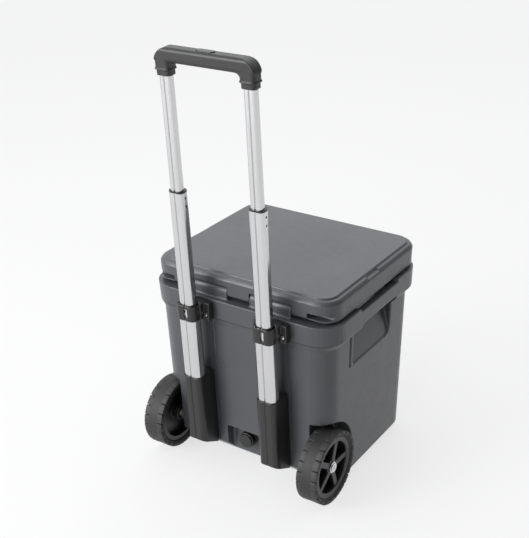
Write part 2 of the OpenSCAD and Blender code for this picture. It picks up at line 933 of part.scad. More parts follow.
spokes = 5;
hub_core_r = 19;
hub_ring_in = 61;
disc_t = 14;
module hub(side) {
    color("#1c1d1e")
        place()
            mirror([side < 0 ? 1 : 0, 0, 0])
                translate([wheel_face_x - wheel_w, -axle_back, wheel_z])
                    rotate([0, 90, 0])
                        rotate([0, 0, 90])
                            difference() {
                                union() {
                                    rotate_extrude($fn = 96)
                                        polygon([[hub_ring_in, 5], [disc_r, 5], [disc_r, wheel_w - 4],
                                            [hub_ring_in, wheel_w - 6]]);
                                    translate([0, 0, 2.5])
                                        cylinder(r = hub_core_r, h = wheel_w - 12, $fn = round_fn);
                                    translate([0, 0, wheel_w / 2 - 4])
                                        cylinder(r = hub_ring_in + 1, h = 5, $fn = round_fn);
                                    for (i = [0:spokes - 1])
                                        rotate([0, 0, i * 360 / spokes])
                                            translate([hub_core_r - 3, -7, wheel_w - 8 - disc_t])
                                                cube([hub_ring_in - hub_core_r + 4, 14, disc_t]);
                                }
                                translate([0, 0, -1])
                                    cylinder(r = axle_r + 3, h = wheel_w + 2, $fn = round_fn);
                            }
}
module hub_left() { hub(-1); }
module hub_right() { hub(1); }

module bush(side) {
    color("#c9b26a")
        place()
            mirror([side < 0 ? 1 : 0, 0, 0])
                translate([0, -axle_back, wheel_z])
                    difference() {
                        x_cylinder(axle_r + 3, wheel_face_x - wheel_w + 2.5, wheel_face_x - 9.5);
                        x_cylinder(axle_r + run_fit, wheel_face_x - wheel_w, wheel_face_x);
                    }
}
module bush_left() { bush(-1); }
module bush_right() { bush(1); }

// --- grip ---
grip_half = rod_x + leg_w / 2;
grip_r = 34;
bar_split = 3;

// outline of the grip seen from the back: a bar with rounded shoulders and two legs
grip_round = 8;          // rounding of the bar's section
grip_fillet = 10;        // rounding where the bar meets its legs
inner_edge = rod_x - leg_w / 2;
module grip_outline() {
    difference() {
        union() {
            square_from(-grip_half + grip_r, grip_half - grip_r, sleeve_s, grip_s1);
            square_from(-grip_half, grip_half, sleeve_s, grip_s1 - grip_r);
            for (side = [-1, 1])
                translate([side * (grip_half - grip_r), grip_s1 - grip_r])
                    circle(r = grip_r, $fn = round_fn);
        }
        square_from(-inner_edge, inner_edge, sleeve_s - 5, grip_s0 - grip_fillet);
        square_from(-inner_edge + grip_fillet, inner_edge - grip_fillet, sleeve_s - 5, grip_s0);
        for (side = [-1, 1])
            translate([side * (inner_edge - grip_fillet), grip_s0 - grip_fillet])
                circle(r = grip_fillet, $fn = round_fn);
    }
}

module leg_piece(side, grow, r, s0, s1) {
    translate([side * rod_x, grip_mid, s0])
        linear_extrude(height = s1 - s0)
            rounded(leg_w + 2 * grow, grip_d + 2 * grow, r);
}

// the whole grip before it is hollowed: bar, legs, and a lip and a sleeve under each leg
module grip_solid() {
    intersection() {
        in_depth(grip_mid - grip_d, grip_mid + grip_d)
            grip_outline();
        union() {
            translate([-grip_half, grip_mid, (grip_s0 + grip_s1) / 2])
                rotate([90, 0, 90])
                    linear_extrude(height = 2 * grip_half)
                        rounded(grip_d, grip_h, grip_round);
            for (side = [-1, 1]) {
                leg_piece(side, 0, 9, sleeve_s + 14.9, grip_s1 - grip_round);
                translate([side * (inner_edge - grip_fillet / 2) - grip_fillet / 2 - 1,
                    grip_mid - grip_d / 2 + 5, grip_s0 - grip_fillet - 1])
                    cube([grip_fillet + 2, grip_d - 10, grip_fillet + 6]);
            }
        }
    }
    for (side = [-1, 1]) {
        leg_piece(side, 1.5, 10, sleeve_s + 12, sleeve_s + 15);
        leg_piece(side, -1.5, 8, sleeve_s, sleeve_s + 12.1);
    }
}

module square_from(x0, x1, y0, y1) {
    translate([x0, y0])
        square([x1 - x0, y1 - y0]);
}

module on_rods_middle() {
    translate([0, -rod_back, 0])
        rotate([rod_lean, 0, 0])
            children();
}

grip_skin = 3;
button_w = 42;
button_d = 15;
// x runs along the bar, the second value is the depth, and s the height along the uprights
module in_depth(y0, y1) {
    translate([0, y1, 0])
        rotate([90, 0, 0])
            linear_extrude(height = y1 - y0)
                children();
}

module button_shape(grow, s0, s1) {
    translate([0, grip_mid, s0])
        linear_extrude(height = s1 - s0)
            rounded(button_w + 2 * grow, button_d + 2 * grow, button_d / 2 + grow - 0.1);
}

module tube_hole(side, s1) {
    translate([side * rod_x, 0, sleeve_s - 1])
        linear_extrude(height = s1 - sleeve_s + 1.1)
            tube_section(inner_w + 0.1, inner_d + 0.1, inner_r, inner_front - 0.05);
}

module cover_zone() {
    in_depth(grip_mid + grip_d / 2 - grip_skin, grip_mid + grip_d / 2 + 5)
        square_from(-grip_half - 1, grip_half + 1, grip_s0, grip_s1 + 1);
}

// main shell, open towards the tub; the cover closes it
module grip_shell() {
    color("#262728")
        place()
            on_rods_middle()
                difference() {
                    grip_solid();
                    cover_zone();
                    in_depth(grip_mid - grip_d / 2 + grip_skin, grip_mid + grip_d / 2)
                        {
                            square_from(-grip_half + grip_r, grip_half - grip_r, grip_s0 + grip_skin,
                                grip_s1 - grip_skin);
                            square_from(-rod_x - 7, rod_x + 7, grip_s0 + grip_skin, grip_s1 - 13);
                        }
                    for (side = [-1, 1])
                        tube_hole(side, inner_s1);
                    for (side = [-1, 1])
                        translate([side * rod_x, grip_mid, inner_s1 - 1])
                            cylinder(r = 5, h = grip_s0 + grip_skin + 2 - inner_s1, $fn = round_fn);
                    for (side = [-1, 1])
                        translate([side * rod_x - 6, grip_mid - 6, grip_s0 + grip_skin - 12])
                            cube([12, 12, 14]);
                    button_shape(0.4, grip_s1 - grip_skin - 1, grip_s1 + 1);
                    for (side = [-1, 1])
                        translate([side * 60, grip_mid + grip_d / 2 - 12, (grip_s0 + grip_s1) / 2])
                            y_cylinder(1.6, -14, 20);
                }
}

module grip_inner_cover() {
    color("#202122")
        place()
            on_rods_middle()
                difference() {
                    intersection() {
                        grip_solid();
                        cover_zone();
                    }
                    for (x = cover_screw_x)
                        translate([x, 0, cover_screw_s])
                            y_cylinder(3.4, grip_mid + grip_d / 2 - grip_skin - 1, grip_mid + grip_d / 2 + 1);
                }
}

cover_screw_x = [-rod_x, rod_x];
cover_screw_s = grip_s1 - grip_r + 14;
module grip_screws() {
    color("#c4c6c8")
        place()
            on_rods_middle()
                for (x = cover_screw_x)
                    translate([x, 0, cover_screw_s])
                        y_cylinder(3.2, grip_mid + grip_d / 2 - grip_skin, grip_mid + grip_d / 2 - 0.6);
}

button_s1 = grip_s1 + 1.5;
button_stem_s = grip_s0 + 14;
module push_button() {
    color("#141415")
        place()
            on_rods_middle() {
                button_shape(0, grip_s1 - grip_skin - 4, button_s1);
                translate([-7, grip_mid - 5, button_stem_s])
                    cube([14, 10, grip_s1 - grip_skin - 3 - button_stem_s]);
            }
}

bar_s = grip_s0 + 9;
module release_bar() {
    color("#8f9194")
        place()
            on_rods_middle()
                difference() {
                    translate([-rod_x - 5, grip_mid - 4, bar_s])
                        cube([2 * rod_x + 10, 8, 5]);
                    for (side = [-1, 1])
                        translate([side * rod_x, grip_mid, bar_s - 1])
                            cylinder(r = rod_r, h = 7, $fn = round_fn);
                    translate([0, grip_mid, bar_s - 1])
                        cylinder(r = 3, h = 3, $fn = round_fn);
                }
}

module pull_rods() {
    color("#a6a8aa")
        place()
            for (side = [-1, 1])
                on_rod(side)
                    translate([0, grip_mid, lock_s + 16])
                        cylinder(r = rod_r, h = bar_s + 5 - lock_s - 16, $fn = round_fn);
}

// the spring lies in the bar, under the middle of the release bar
module button_spring() {
    color("#c8cacc")
        place()
            on_rods_middle()
                translate([0, grip_mid, grip_s0 + grip_skin])
                    difference() {
                        cylinder(r = 4, h = bar_s - grip_s0 - grip_skin, $fn = round_fn);
                        translate([0, 0, -1])
                            cylinder(r = 2.8, h = 20, $fn = round_fn);
                    }
}

// a pin in each inner tube's foot locks it to the middle tube; the pull rod draws it in
pin_in = 1.6;
module lock_pin(side) {
    color("#9a9c9e")
        place()
            on_rod(side)
                translate([0, grip_mid, lock_s])
                    x_cylinder(lock_hole_r - run_fit, 2.6, inner_w / 2 + 1);
}
module lock_pin_left() { lock_pin(-1); }
module lock_pin_right() { lock_pin(1); }

module lock_blocks() {
    color("#1f2021")
        place()
            for (side = [-1, 1])
                on_rod(side)
                    difference() {
                        translate([0, 0, lock_s - 9])
                            linear_extrude(height = 19)
                                difference() {
                                    tube_section(inner_w - 2 * tube_wall, inner_d - 2 * tube_wall,
                                        inner_r - tube_wall, inner_front + tube_wall);
                                    groove_cut(inner_front, tube_wall);
                                }
                        translate([0, grip_mid, lock_s])
                            x_cylinder(lock_hole_r, 2.6 - pin_in - 0.4, inner_w);
                        translate([0, grip_mid, lock_s])
                            cylinder(r = rod_r + 0.4, h = 20, $fn = round_fn);
                    }
}

// --- lid ---
module lid_outline(inset, z, h) {
    slab(lid_half_w - inset, lid_half_d - inset, lid_half_d - inset, lid_corner_r - inset, z, h);
}

// room that the tub's knuckles need under the back edge of the lid
module knuckle_room(grow) {
    for (side = [0, 1])
        mirror([side, 0, 0])
            translate([0, hinge_y, hinge_z]) {
                x_cylinder(knuckle_r + 1.5 + grow, knuckle_x0 - 1 - grow, knuckle_x1 + 1 + grow);
                translate([knuckle_x0 - 1 - grow, -knuckle_r - 20, -60])
                    cube([knuckle_len + 2 + 2 * grow, 2 * knuckle_r + 20 + 1.5 + grow, 60]);
                translate([knuckle_x0 - 1 - grow, -knuckle_r - 20, -1])
                    cube([knuckle_len + 2 + 2 * grow, 20 + knuckle_r, knuckle_r + 2.5 + grow]);
            }
}

notch_y = -16;
notch_half = 26;
module lid_block(grow) {
    difference() {
        union() {
            hull() {
                lid_outline(6 - grow, lid_edge_top - 1 + grow, 1);
                lid_outline(-grow, lid_edge_top - 9, 1);
            }
            hull() {
                lid_outline(-grow, lid_edge_top - 9, 1);
                lid_outline(1.5 - grow, lid_low - grow, 1);
            }
            hull() {
                lid_outline(lid_border + 2.5 - grow, lid_top - 1 + grow, 1);
                lid_outline(lid_border - grow, lid_edge_top - 9, 1);
            }
        }
        for (side = [0, 1])
            mirror([side, 0, 0])
                translate([lid_half_w - lid_border - 1 + grow, notch_y - notch_half + grow,
                    lid_edge_top - 4 + grow])
                    cube([50, 2 * notch_half - 2 * grow, 40]);
    }
}

// chamfer under the back edge, so that the edge clears the rim as the lid swings
module back_chamfer(grow) {
    rotate([90, 0, 90])
        translate([0, 0, -300])
            linear_extrude(height = 600)
                polygon([[-lid_half_d - 20, lid_low - 20], [-lid_half_d + 9 + grow, lid_low - 20],
                    [-lid_half_d + 9 + grow, lid_low + grow], [-lid_half_d + 0.5, lid_low + 8 + grow],
                    [-lid_half_d - 20, lid_low + 8 + grow]]);
}

plug_gap = 4;
module lid_cuts(grow) {
    knuckle_room(grow);
    back_chamfer(grow);
    for (side = [-1, 1])
        translate([side * latch_x - latch_cut_w / 2 - grow, latch_in_y - grow, lid_low - 1])
            cube([latch_cut_w + 2 * grow, 60, lid_h - 12 + grow]);
    for (side = [0, 1])
        mirror([side, 0, 0])
            translate([hinge_pin_x1 - grow, -lid_half_d - 1, hinge_z - 6 - grow])
                cube([100, 26 + grow, 13 + 2 * grow]);
}

module lid_solid(grow) {
    difference() {
        union() {
            lid_block(grow);
            slab(box_half_w - plug_gap + grow, box_back - plug_gap + grow, box_front - plug_gap + grow,
                box_corner_r - plug_gap + grow, lid_low - lid_plug_h - grow, lid_plug_h + 5);
        }
        lid_cuts(-grow);
    }
}

module lid_foam_space() {
    difference() {
        lid_solid(-skin);
        translate([0, hinge_y, hinge_z])
            x_cylinder(hinge_pin_r + skin, -hinge_pin_x1 - 5, hinge_pin_x1 + 5);
        translate([-300, hinge_y - 20, lid_low])
            cube([600, 20 + hinge_pin_r + skin, hinge_z - lid_low]);
        for (side = [-1, 1])
            translate([side * latch_x, latch_pin_y, latch_pin_z])
                x_cylinder(3 + skin, -latch_cut_w / 2 - 12, latch_cut_w / 2 + 12);
    }
}

latch_pin_y = latch_in_y + 7;
latch_pin_z = lid_low + 30;
latch_pin_r = 2.5;
gasket_w = 9;
gasket_out = 17;
module lid_shell() {
    color("#5f6164")
        place()
            difference() {
                lid_solid(0);
                lid_foam_space();
                for (side = [0, 1])
                    mirror([side, 0, 0])
                        translate([0, hinge_y, hinge_z])
                            x_cylinder(hinge_pin_r + run_fit, hinge_pin_x0 - 1, hinge_pin_x1 + 5);
                for (side = [-1, 1])
                    translate([side * latch_x, latch_pin_y, latch_pin_z])
                        x_cylinder(latch_pin_r, -latch_cut_w / 2 - 8, latch_cut_w / 2 + 8);
            }
}

module lid_foam() {
    color("#e8dfb8")
        place()
            lid_foam_space();
}

module lid_gasket() {
    color("#3c3d3f")
        place()
            difference() {
                slab(box_half_w + gasket_out, box_back + gasket_out, box_front + gasket_out,
                    box_corner_r + gasket_out, rim_top + fit, lid_gap - fit);
                slab(box_half_w + gasket_out - gasket_w, box_back + gasket_out - gasket_w,
                    box_front + gasket_out - gasket_w, box_corner_r + gasket_out - gasket_w,
                    rim_top, lid_gap + 1);
            }
}

module latch_pins() {
    color("#b8babc")
        place()
            for (side = [-1, 1])
                translate([side * latch_x, latch_pin_y, latch_pin_z])
                    x_cylinder(latch_pin_r, -latch_cut_w / 2 - 7.5, latch_cut_w / 2 + 7.5);
}

// a latch hangs from its pin in front of the keeper
module latch(side) {
    color("#2b2c2e")
        place()
            difference() {
                translate([side * latch_x - latch_w / 2, latch_pin_y, latch_pin_z]) {
                    x_cylinder(6.5, 0, latch_w);
                    translate([0, -1, -latch_h + 8])
                        cube([latch_w, rim_front + 2 - latch_pin_y + 1, latch_h - 8]);
                    translate([6, 0, -latch_h + 8])
                        cube([latch_w - 12, rim_front + latch_out - latch_pin_y, 8]);
                }
                translate([side * latch_x, latch_pin_y, latch_pin_z])
                    x_cylinder(latch_pin_r + run_fit, -latch_w, latch_w);
            }
}
module latch_left() { latch(-1); }
module latch_right() { latch(1); }

body_shell();
inner_liner();
body_foam();
hinge_pins();
keepers();
front_feet();
foot_screws();
drain_fitting();
drain_nut();
plug_gasket();
drain_plug();
guide_left();
guide_right();
guide_screws();
collar_left();
collar_right();
collar_screws();
outer_tube_left();
outer_tube_right();
tube_end_blocks();
axle_left();
axle_right();
axle_washers();
axle_caps();
tyre_left();
hub_left();
bush_left();
tyre_right();
hub_right();
bush_right();
middle_tube_left();
middle_tube_right();
middle_top_bushes();
middle_foot_bushes();
inner_tube_left();
inner_tube_right();
inner_foot_bushes();
grip_shell();
grip_inner_cover();
grip_screws();
push_button();
release_bar();
pull_rods();
button_spring();
lock_blocks();
lock_pin_left();
lock_pin_right();
lid_shell();
lid_foam();
lid_gasket();
latch_pins();
latch_left();
latch_right();
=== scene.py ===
# %% [markdown]
# # A cooler on wheels
# This lesson dresses a working model of a hard cooler with two wheels and a pull handle. The
# solids come from the frame, which says where each piece is and how it moves. Here each piece
# gets its looks: soft moulded edges, treads, grooves and materials made from nodes. Lengths are
# metres, +Z is up, the wheels and the handle are at the back, which is -Y.

# %% Load the frame
import json
import math
import bpy
import bmesh
import numpy as np
from mathutils import Matrix, Vector


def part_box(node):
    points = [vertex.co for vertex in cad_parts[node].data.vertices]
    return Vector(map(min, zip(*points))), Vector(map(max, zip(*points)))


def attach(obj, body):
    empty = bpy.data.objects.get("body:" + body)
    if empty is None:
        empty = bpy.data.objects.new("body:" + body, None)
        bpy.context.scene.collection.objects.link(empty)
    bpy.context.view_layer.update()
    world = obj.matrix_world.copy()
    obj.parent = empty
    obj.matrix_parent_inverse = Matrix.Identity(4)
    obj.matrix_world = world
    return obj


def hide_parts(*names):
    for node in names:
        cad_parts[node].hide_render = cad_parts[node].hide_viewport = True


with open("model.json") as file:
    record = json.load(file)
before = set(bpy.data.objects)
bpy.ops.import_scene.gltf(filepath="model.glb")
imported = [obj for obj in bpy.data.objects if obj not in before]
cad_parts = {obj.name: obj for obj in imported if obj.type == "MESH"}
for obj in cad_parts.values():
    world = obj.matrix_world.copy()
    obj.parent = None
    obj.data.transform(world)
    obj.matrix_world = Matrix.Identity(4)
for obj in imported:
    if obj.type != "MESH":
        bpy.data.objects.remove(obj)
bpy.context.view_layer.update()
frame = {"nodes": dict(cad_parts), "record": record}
nodes = frame["nodes"]

# %% [markdown]
# ## Where things are
# The middle of the tub and the wheel are read from the frame. The lid is symmetric from front to back,
# so its middle gives the middle of the tub. The lean of the uprights and the rim's lower edge are given.

# %% Read the main places
def middle(node):
    low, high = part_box(node)
    return (low + high) / 2


MM = 0.001
tub_y = middle("lid_shell").y
wheel = middle("tyre_right")
wheel_low, wheel_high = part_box("tyre_right")
LEAN = math.radians(3.3)
RIM_LOW = 397 * MM
print("middle of the tub at y =", round(tub_y, 4), "wheel centre", tuple(round(v, 4) for v in wheel))

# %% [markdown]
# ## Camera, light and floor
# The camera looks down from behind the right wheel, with a fairly long lens. The light is a
# soft studio light: a surround that is brightest overhead and behind on the left, a wide panel
# above the front, a strong panel behind on the left and a narrow strip straight behind.

# %% Camera
AZIMUTH = math.radians(33.81)
ELEVATION = math.radians(25.29)
ROLL = math.radians(-1.01)
ahead = Vector((-math.sin(AZIMUTH) * math.cos(ELEVATION), math.cos(AZIMUTH) * math.cos(ELEVATION),
                -math.sin(ELEVATION)))
level = Vector((math.cos(AZIMUTH), math.sin(AZIMUTH), 0.0))
upward = level.cross(ahead)
side = level * math.cos(ROLL) + upward * math.sin(ROLL)
top = upward * math.cos(ROLL) - level * math.sin(ROLL)
camera = bpy.data.objects.new("camera", bpy.data.cameras.new("camera"))
bpy.context.scene.collection.objects.link(camera)
turn = Matrix((side, top, -ahead)).transposed().to_4x4()
camera.matrix_world = Matrix.Translation((1.1811, -1.8626 + tub_y, 1.4891)) @ turn
camera.data.lens = 69.6
camera.data.clip_end = 200
bpy.context.scene.camera = camera
print("camera at", tuple(round(v, 3) for v in camera.location))

# %% Studio lights and surround
def area_light(name, place, target, size, power, tint=(1, 1, 1)):
    data = bpy.data.lights.new(name, "AREA")
    data.shape = "RECTANGLE"
    data.size, data.size_y = size
    data.energy = power
    data.color = tint
    light = bpy.data.objects.new(name, data)
    bpy.context.scene.collection.objects.link(light)
    light.location = place
    direction = Vector(target) - Vector(place)
    light.rotation_euler = direction.to_track_quat("-Z", "Y").to_euler()
    return light


area_light("panel_above", (-0.9, 1.4, 2.8), (0, 0, 0.4), (2.4, 1.6), 13)
area_light("panel_left", (-1.7, -2.9, 1.5), (0, 0, 0.4), (1.5, 2.2), 80)
area_light("strip_back", (0.5, -3.1, 1.1), (0, 0, 0.4), (0.5, 1.6), 14)
bpy.context.scene.view_settings.view_transform = "Standard"

# the surround is brightest overhead and behind on the left, and plain white to the camera itself
world = bpy.data.worlds.new("surround")
bpy.context.scene.world = world
world.use_nodes = True
sky = world.node_tree
lit = sky.nodes["Background"]
facing = sky.nodes.new("ShaderNodeTexCoord").outputs["Generated"]


def glow(direction, low, high, amount):
    """Light from around one direction, fading in between two cosines."""
    toward = sky.nodes.new("ShaderNodeVectorMath")
    toward.operation = "DOT_PRODUCT"
    sky.links.new(facing, toward.inputs[0])
    toward.inputs[1].default_value = Vector(direction).normalized()
    fade = sky.nodes.new("ShaderNodeMapRange")
    fade.interpolation_type = "SMOOTHSTEP"
    sky.links.new(toward.outputs["Value"], fade.inputs["Value"])
    fade.inputs["From Min"].default_value = low
    fade.inputs["From Max"].default_value = high
    fade.inputs["To Max"].default_value = amount
    return fade.outputs["Result"]


# each glow has a direction, the two cosines that it fades in between, and an amount
glows = [((-0.3, 0.5, 1.0), 0.2, 0.95, 0.85),
         ((-0.8, -1.0, 0.35), 0.3, 0.95, 1.45),
         ((-0.2, 1.0, 0.25), 0.5, 0.95, 0.4)]
total = glow((0, 0, 1), -2.0, -1.5, 0.12)  # the same from everywhere
for direction, low, high, amount in glows:
    both = sky.nodes.new("ShaderNodeMath")
    sky.links.new(total, both.inputs[0])
    sky.links.new(glow(direction, low, high, amount), both.inputs[1])
    total = both.outputs[0]
lit.inputs["Color"].default_value = (0.98, 0.99, 1.0, 1)
sky.links.new(total, lit.inputs["Strength"])
backdrop = sky.nodes.new("ShaderNodeBackground")
backdrop.inputs["Color"].default_value = (0.88, 0.88, 0.88, 1)
seen = sky.nodes.new("ShaderNodeLightPath")
choose = sky.nodes.new("ShaderNodeMixShader")
sky.links.new(seen.outputs["Is Camera Ray"], choose.inputs[0])
sky.links.new(lit.outputs[0], choose.inputs[1])
sky.links.new(backdrop.outputs[0], choose.inputs[2])
sky.links.new(choose.outputs[0], sky.nodes["World Output"].inputs["Surface"])

# %% [markdown]
# ## Shared surface effects
# Most pieces are moulded plastic with a fine grain. The grain, a slow drift in colour and the
# paler worn edges are the same idea everywhere, so they are one node group that each material
# places with its own values. The group puts out only a colour, a roughness and a height.

# %% Node helpers
def group_with(name, inputs, outputs):
    tree = bpy.data.node_groups.new(name, "ShaderNodeTree")
    for label, kind, value in inputs:
        socket = tree.interface.new_socket(name=label, in_out="INPUT", socket_type=kind)
        if value is not None:
            socket.default_value = value
    for label, kind in outputs:
        tree.interface.new_socket(name=label, in_out="OUTPUT", socket_type=kind)
    start = tree.nodes.new("NodeGroupInput")
    end = tree.nodes.new("NodeGroupOutput")
    return tree, start, end


def add(tree, kind, **settings):
    node = tree.nodes.new(kind)
    for key, value in settings.items():
        setattr(node, key, value)
    return node


def sums(tree, operation, first, second):
    node = add(tree, "ShaderNodeMath", operation=operation)
    for slot, value in enumerate((first, second)):
        if hasattr(value, "links"):
            tree.links.new(value, node.inputs[slot])
        elif value is not None:
            node.inputs[slot].default_value = value
    return node.outputs[0]


def noise(tree, vector, scale, detail=3.0, rough=0.5):
    node = add(tree, "ShaderNodeTexNoise")
    tree.links.new(vector, node.inputs["Vector"])
    if hasattr(scale, "links"):
        tree.links.new(scale, node.inputs["Scale"])
    else:
        node.inputs["Scale"].default_value = scale
    node.inputs["Detail"].default_value = detail
    node.inputs["Roughness"].default_value = rough
    return node.outputs["Fac"]


def spread(tree, value, low, high, to_low, to_high):
    node = add(tree, "ShaderNodeMapRange")
    tree.links.new(value, node.inputs["Value"])
    for label, number in (("From Min", low), ("From Max", high), ("To Min", to_low), ("To Max", to_high)):
        if hasattr(number, "links"):
            tree.links.new(number, node.inputs[label])
        else:
            node.inputs[label].default_value = number
    return node.outputs["Result"]


def blend_colour(tree, factor, first, second):
    node = add(tree, "ShaderNodeMix", data_type="RGBA")
    tree.links.new(factor, node.inputs[0])
    for slot, value in ((6, first), (7, second)):
        if hasattr(value, "links"):
            tree.links.new(value, node.inputs[slot])
        else:
            node.inputs[slot].default_value = value
    return node.outputs[2]

# %% Moulded surface group
moulded, start, end = group_with(
    "moulded_surface",
    [("Colour", "NodeSocketColor", (0.1, 0.1, 0.1, 1)),
     ("Worn Colour", "NodeSocketColor", (0.2, 0.2, 0.2, 1)),
     ("Grain Scale", "NodeSocketFloat", 900.0), ("Roughness", "NodeSocketFloat", 0.5),
     ("Wear", "NodeSocketFloat", 0.5)],
    [("Colour", "NodeSocketColor"), ("Roughness", "NodeSocketFloat"), ("Height", "NodeSocketFloat")])
place = add(moulded, "ShaderNodeTexCoord").outputs["Object"]
drift = noise(moulded, place, 4.0, 3.0)
speck = noise(moulded, place, 60.0, 6.0, 0.7)
grain = noise(moulded, place, start.outputs["Grain Scale"], 2.0)
edge = add(moulded, "ShaderNodeAttribute", attribute_name="worn_edge").outputs["Fac"]
darker = add(moulded, "ShaderNodeHueSaturation")
moulded.links.new(start.outputs["Colour"], darker.inputs["Color"])
darker.inputs["Value"].default_value = 0.86
base = blend_colour(moulded, spread(moulded, drift, 0.35, 0.65, 0.0, 1.0), darker.outputs["Color"],
                    start.outputs["Colour"])
rubbed = sums(moulded, "MULTIPLY", edge, spread(moulded, speck, 0.35, 0.6, 0.25, 1.0))
rubbed = sums(moulded, "MULTIPLY", rubbed, start.outputs["Wear"])
moulded.links.new(blend_colour(moulded, rubbed, base, start.outputs["Worn Colour"]), end.inputs["Colour"])
rough = sums(moulded, "ADD", start.outputs["Roughness"], spread(moulded, speck, 0.3, 0.7, -0.05, 0.06))
rough = sums(moulded, "SUBTRACT", rough, sums(moulded, "MULTIPLY", rubbed, 0.12))
moulded.links.new(rough, end.inputs["Roughness"])
height = sums(moulded, "ADD", grain, sums(moulded, "MULTIPLY", speck, 0.25))
moulded.links.new(height, end.inputs["Height"])
print("group", moulded.name, "has", len(moulded.nodes), "nodes")

# %% Plastic and rubber materials
# painted shade: a near-black line at the rim's lower edge on the back of the tub stands in for the shade in
# the fine step there
RIM_SHADE_FULL, RIM_SHADE_GONE = 0.0006, 0.0015  # heights from the rim's lower edge
BACK_FULL, BACK_GONE = 0.150, 0.140    # distances behind the middle of the tub
RIM_SHADE_COLOUR = (0.008, 0.008, 0.009, 1)


def painted_rim_shade(tree, colour):
    """A thin dark line of painted shade around the back of the tub, at the rim's lower edge, where a fine
    step is shaded.
    """
    parts = add(tree, "ShaderNodeSeparateXYZ")
    tree.links.new(add(tree, "ShaderNodeTexCoord").outputs["Object"], parts.inputs[0])
    off = sums(tree, "ABSOLUTE", sums(tree, "SUBTRACT", parts.outputs["Z"], RIM_LOW), None)
    near = spread(tree, off, RIM_SHADE_FULL, RIM_SHADE_GONE, 1.0, 0.0)
    behind = spread(tree, parts.outputs["Y"], tub_y - BACK_FULL, tub_y - BACK_GONE, 1.0, 0.0)
    return blend_colour(tree, sums(tree, "MULTIPLY", near, behind), colour, RIM_SHADE_COLOUR)


def plastic(name, colour, worn, roughness, grain_scale, bump, wear=0.5, coat=0.0, specular=0.5, line=False):
    material = bpy.data.materials.new(name)
    material.use_nodes = True
    tree = material.node_tree
    shader = tree.nodes["Principled BSDF"]
    skin = add(tree, "ShaderNodeGroup", node_tree=moulded)
    skin.inputs["Colour"].default_value = (*colour, 1)
    skin.inputs["Worn Colour"].default_value = (*worn, 1)
    skin.inputs["Grain Scale"].default_value = grain_scale
    skin.inputs["Roughness"].default_value = roughness
    skin.inputs["Wear"].default_value = wear
    # with line set, the painted shade line under the rim is laid over the colour
    finish = painted_rim_shade(tree, skin.outputs["Colour"]) if line else skin.outputs["Colour"]
    tree.links.new(finish, shader.inputs["Base Color"])
    tree.links.new(skin.outputs["Roughness"], shader.inputs["Roughness"])
    dents = add(tree, "ShaderNodeBump")
    dents.inputs["Distance"].default_value = bump
    dents.inputs["Strength"].default_value = 0.5
    tree.links.new(skin.outputs["Height"], dents.inputs["Height"])
    tree.links.new(dents.outputs["Normal"], shader.inputs["Normal"])
    shader.inputs["Coat Weight"].default_value = coat
    shader.inputs["Coat Roughness"].default_value = 0.35
    shader.inputs["Specular IOR Level"].default_value = specular
    return material


moulded_grey = ((0.066, 0.069, 0.076), (0.125, 0.128, 0.137), 0.33, 1300, 0.00016)
charcoal = plastic("charcoal_moulding", *moulded_grey)
# the tub's material carries the painted shade line under its rim
tub_charcoal = plastic("charcoal_tub", *moulded_grey, line=True)
satin_black = plastic("satin_black", (0.0125, 0.0125, 0.0132), (0.04, 0.04, 0.042), 0.38, 1400, 0.0002)
smooth_black = plastic("smooth_black", (0.009, 0.009, 0.0095), (0.03, 0.03, 0.032), 0.24, 900, 0.00005)
tyre_black = plastic("tyre_black", (0.0135, 0.0135, 0.014), (0.05, 0.049, 0.048), 0.62, 700, 0.0005, 0.7)
soft_black = plastic("soft_black", (0.015, 0.015, 0.0155), (0.04, 0.04, 0.04), 0.55, 1200, 0.0002)
seal_grey = plastic("seal_grey", (0.045, 0.046, 0.048), (0.08, 0.08, 0.08), 0.7, 1500, 0.0001)
foam_cream = plastic("foam_cream", (0.62, 0.55, 0.33), (0.7, 0.64, 0.42), 0.85, 420, 0.0012, 0.2)
bearing_tan = plastic("bearing_tan", (0.36, 0.30, 0.18), (0.45, 0.4, 0.28), 0.45, 1000, 0.0001)
print("plastics and rubbers:", len(bpy.data.materials))

# %% [markdown]
# ## Metal
# The uprights are bright anodised tube. Drawing the tube leaves hair-fine lines along it, so
# the noise is stretched along the lean of the uprights. Screws and axles are turned, so their
# marks are even in all directions.

# %% Drawn metal group
drawn, start, end = group_with(
    "drawn_metal",
    [("Colour", "NodeSocketColor", (0.7, 0.7, 0.7, 1)), ("Stretch", "NodeSocketFloat", 1.0),
     ("Roughness", "NodeSocketFloat", 0.3)],
    [("Colour", "NodeSocketColor"), ("Roughness", "NodeSocketFloat"), ("Height", "NodeSocketFloat")])
place = add(drawn, "ShaderNodeTexCoord").outputs["Object"]
upright = add(drawn, "ShaderNodeMapping")
upright.inputs["Rotation"].default_value = (-LEAN, 0, 0)
drawn.links.new(place, upright.inputs["Vector"])
parts = add(drawn, "ShaderNodeSeparateXYZ")
drawn.links.new(upright.outputs["Vector"], parts.inputs[0])
joined = add(drawn, "ShaderNodeCombineXYZ")
drawn.links.new(parts.outputs["X"], joined.inputs["X"])
drawn.links.new(parts.outputs["Y"], joined.inputs["Y"])
drawn.links.new(sums(drawn, "MULTIPLY", parts.outputs["Z"], start.outputs["Stretch"]), joined.inputs["Z"])
hairs = noise(drawn, joined.outputs[0], 1600.0, 3.0, 0.6)
smears = noise(drawn, place, 14.0, 4.0, 0.6)
duller = add(drawn, "ShaderNodeHueSaturation")
drawn.links.new(start.outputs["Colour"], duller.inputs["Color"])
duller.inputs["Value"].default_value = 0.88
drawn.links.new(blend_colour(drawn, spread(drawn, hairs, 0.3, 0.7, 0.0, 1.0), duller.outputs["Color"],
                             start.outputs["Colour"]), end.inputs["Colour"])
